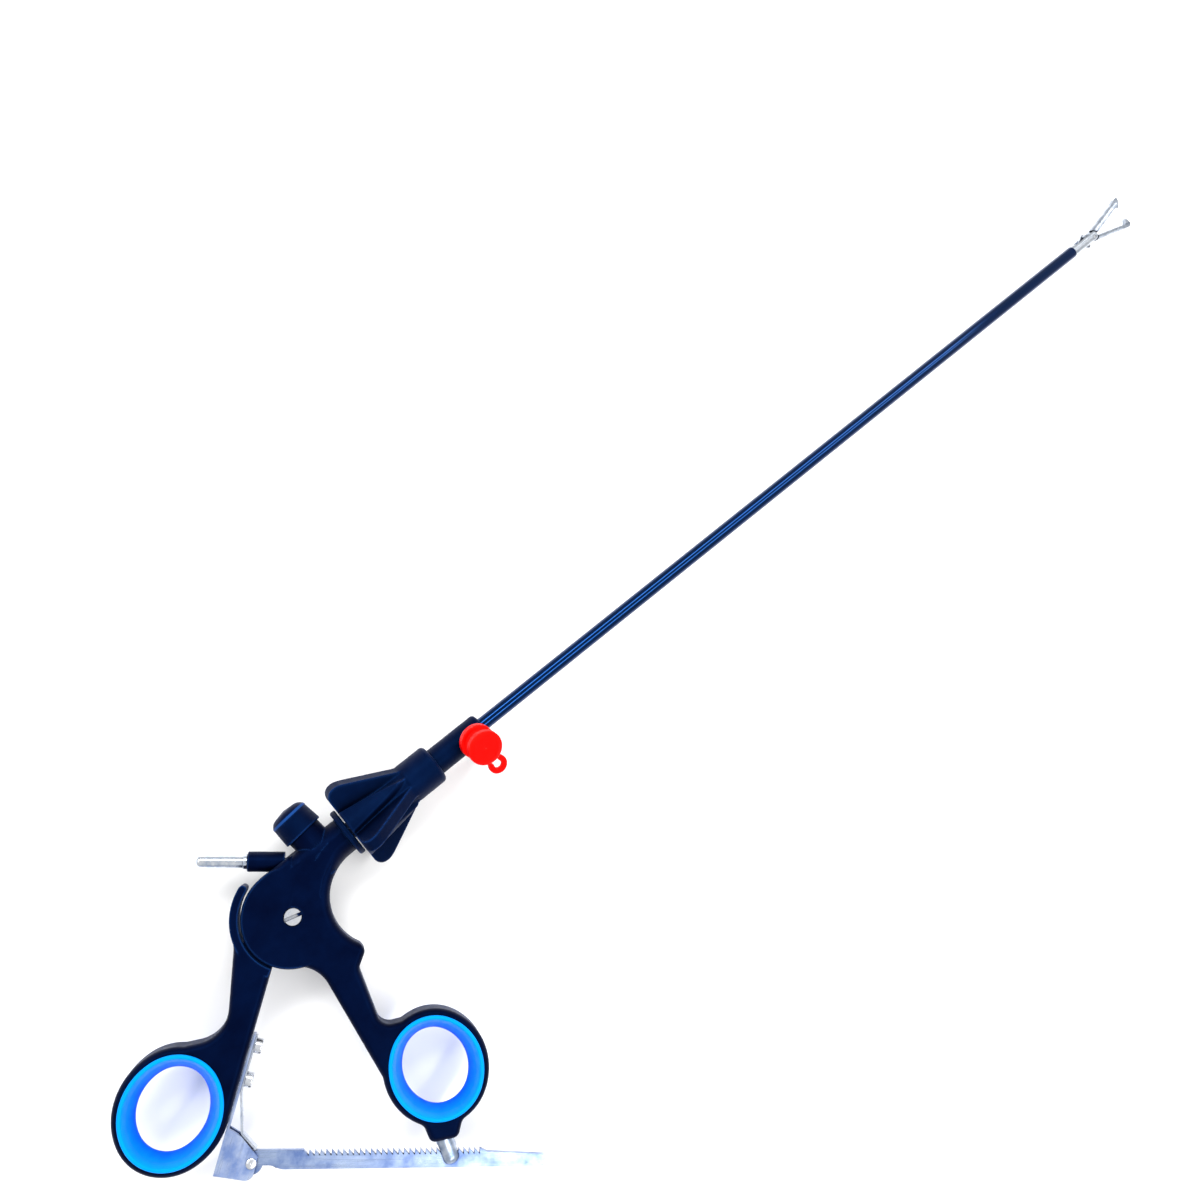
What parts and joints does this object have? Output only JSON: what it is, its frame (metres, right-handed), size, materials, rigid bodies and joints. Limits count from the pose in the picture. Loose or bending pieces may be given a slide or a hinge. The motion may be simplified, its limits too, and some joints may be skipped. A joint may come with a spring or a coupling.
{
  "type": "laparoscopic grasper",
  "caption": "Pistol-grip laparoscopic grasper with ring handles, ratchet, rotation knob, flushing port, insulated shaft and double-action toothed jaws.",
  "frame": {"origin": "on the shaft axis at the front face of the sheath hub", "axes": "+X along the shaft to the jaw tips, +Y up through the release button, away from the rings, +Z out of the handle's plane towards the viewer"},
  "size_m": [0.5237, 0.1478, 0.0314],
  "materials": {
    "black_plastic": "satin",
    "knob_plastic": "satin",
    "insulation": "gloss",
    "blue_liner": "satin",
    "red_cap": "satin",
    "steel": "satin",
    "bright_steel": "polished",
    "jaw_steel": "satin",
    "spring_steel": "satin",
    "brass": "satin",
    "seal": "matt"
  },
  "bodies": {
    "grip": {"handle_body": "black_plastic", "finger_ring_insert": "blue_liner", "neck_flange": "black_plastic", "main_pivot_screw": "bright_steel", "main_pivot_sleeve": "steel", "hf_sleeve": "black_plastic", "hf_pin": "bright_steel", "hf_contact": "brass", "button_spring": "spring_steel", "catch_pin": "bright_steel"},
    "lever": {"thumb_lever": "black_plastic", "thumb_ring_insert": "blue_liner", "drive_pin": "steel", "ratchet_bracket": "steel", "bracket_screws": "bright_steel", "leaf_spring": "spring_steel", "ratchet_rivet": "bright_steel"},
    "ratchet": {"ratchet_bar": "steel"},
    "button": {"release_button": "knob_plastic", "latch_plate": "steel"},
    "shuttle": {"drive_shuttle": "steel"},
    "sheath": {"rotation_knob": "knob_plastic", "coupling_spigot": "steel", "sheath_hub": "knob_plastic", "rod_seal": "seal", "shaft_tube": "steel", "insulation_sleeve": "insulation", "jaw_yoke": "jaw_steel", "jaw_pivot_pin": "jaw_steel", "luer_port": "steel"},
    "cap": {"flush_cap": "red_cap"},
    "rod": {"pull_rod": "steel", "rod_link_pin": "jaw_steel"},
    "upper_jaw": {"jaw_upper": "jaw_steel", "tail_pin_upper": "jaw_steel"},
    "lower_jaw": {"jaw_lower": "jaw_steel", "tail_pin_lower": "jaw_steel"},
    "upper_link": {"link_upper": "jaw_steel"},
    "lower_link": {"link_lower": "jaw_steel"}
  },
  "joints": [
    {"name": "lever_hinge", "type": "hinge", "parent": "grip", "child": "lever", "pos_m": [-0.085, -0.01, 0], "axis": [0, 0, 1], "range_deg": [-6, 13]},
    {"name": "ratchet_swing", "type": "hinge", "parent": "lever", "child": "ratchet", "pos_m": [-0.1383, -0.0607, 0], "axis": [0, 0, 1], "range_deg": [-13.01, 6.01]},
    {"name": "button_press", "type": "slide", "parent": "grip", "child": "button", "axis": [0.0958, -0.9954, 0], "range_m": [0, 0.0011], "stiffness_N_per_m": 800, "springref_m": -0.002, "deforming": ["button_spring"]},
    {"name": "shuttle_slide", "type": "slide", "parent": "grip", "child": "shuttle", "axis": [1, 0, 0], "range_m": [-0.00093, 0.00043]},
    {"name": "sheath_spin", "type": "hinge", "parent": "grip", "child": "sheath", "pos_m": [0, 0, 0], "axis": [1, 0, 0], "continuous": true},
    {"name": "cap_pull", "type": "slide", "parent": "sheath", "child": "cap", "axis": [0, -0.4695, 0.8829], "range_m": [0, 0.01]},
    {"name": "rod_slide", "type": "slide", "parent": "sheath", "child": "rod", "axis": [1, 0, 0], "range_m": [-0.00093, 0.00043]},
    {"name": "upper_jaw_hinge", "type": "hinge", "parent": "sheath", "child": "upper_jaw", "pos_m": [0.337, 0, 0], "axis": [0, -0.342, 0.9397], "range_deg": [-13.51, 6.24]},
    {"name": "lower_jaw_hinge", "type": "hinge", "parent": "sheath", "child": "lower_jaw", "pos_m": [0.337, 0, 0], "axis": [0, -0.342, 0.9397], "range_deg": [-6.24, 13.51]},
    {"name": "upper_link_hinge", "type": "hinge", "parent": "rod", "child": "upper_link", "pos_m": [0.32908, 0, 0], "axis": [0, -0.342, 0.9397], "range_deg": [-5.34, 11.55]},
    {"name": "lower_link_hinge", "type": "hinge", "parent": "rod", "child": "lower_link", "pos_m": [0.32908, 0, 0], "axis": [0, -0.342, 0.9397], "range_deg": [-11.55, 5.34]}
  ],
  "couplings": [
    {"joint": "ratchet_swing", "follows": "lever_hinge", "ratio": -1},
    {"joint": "shuttle_slide", "follows": "lever_hinge", "m_per_rad": -0.0040768},
    {"joint": "rod_slide", "follows": "lever_hinge", "m_per_rad": -0.0040768},
    {"joint": "upper_jaw_hinge", "follows": "lever_hinge", "ratio": -1.0385},
    {"joint": "lower_jaw_hinge", "follows": "lever_hinge", "ratio": 1.0385},
    {"joint": "upper_link_hinge", "follows": "lever_hinge", "ratio": 0.88792},
    {"joint": "lower_link_hinge", "follows": "lever_hinge", "ratio": -0.88792}
  ]
}
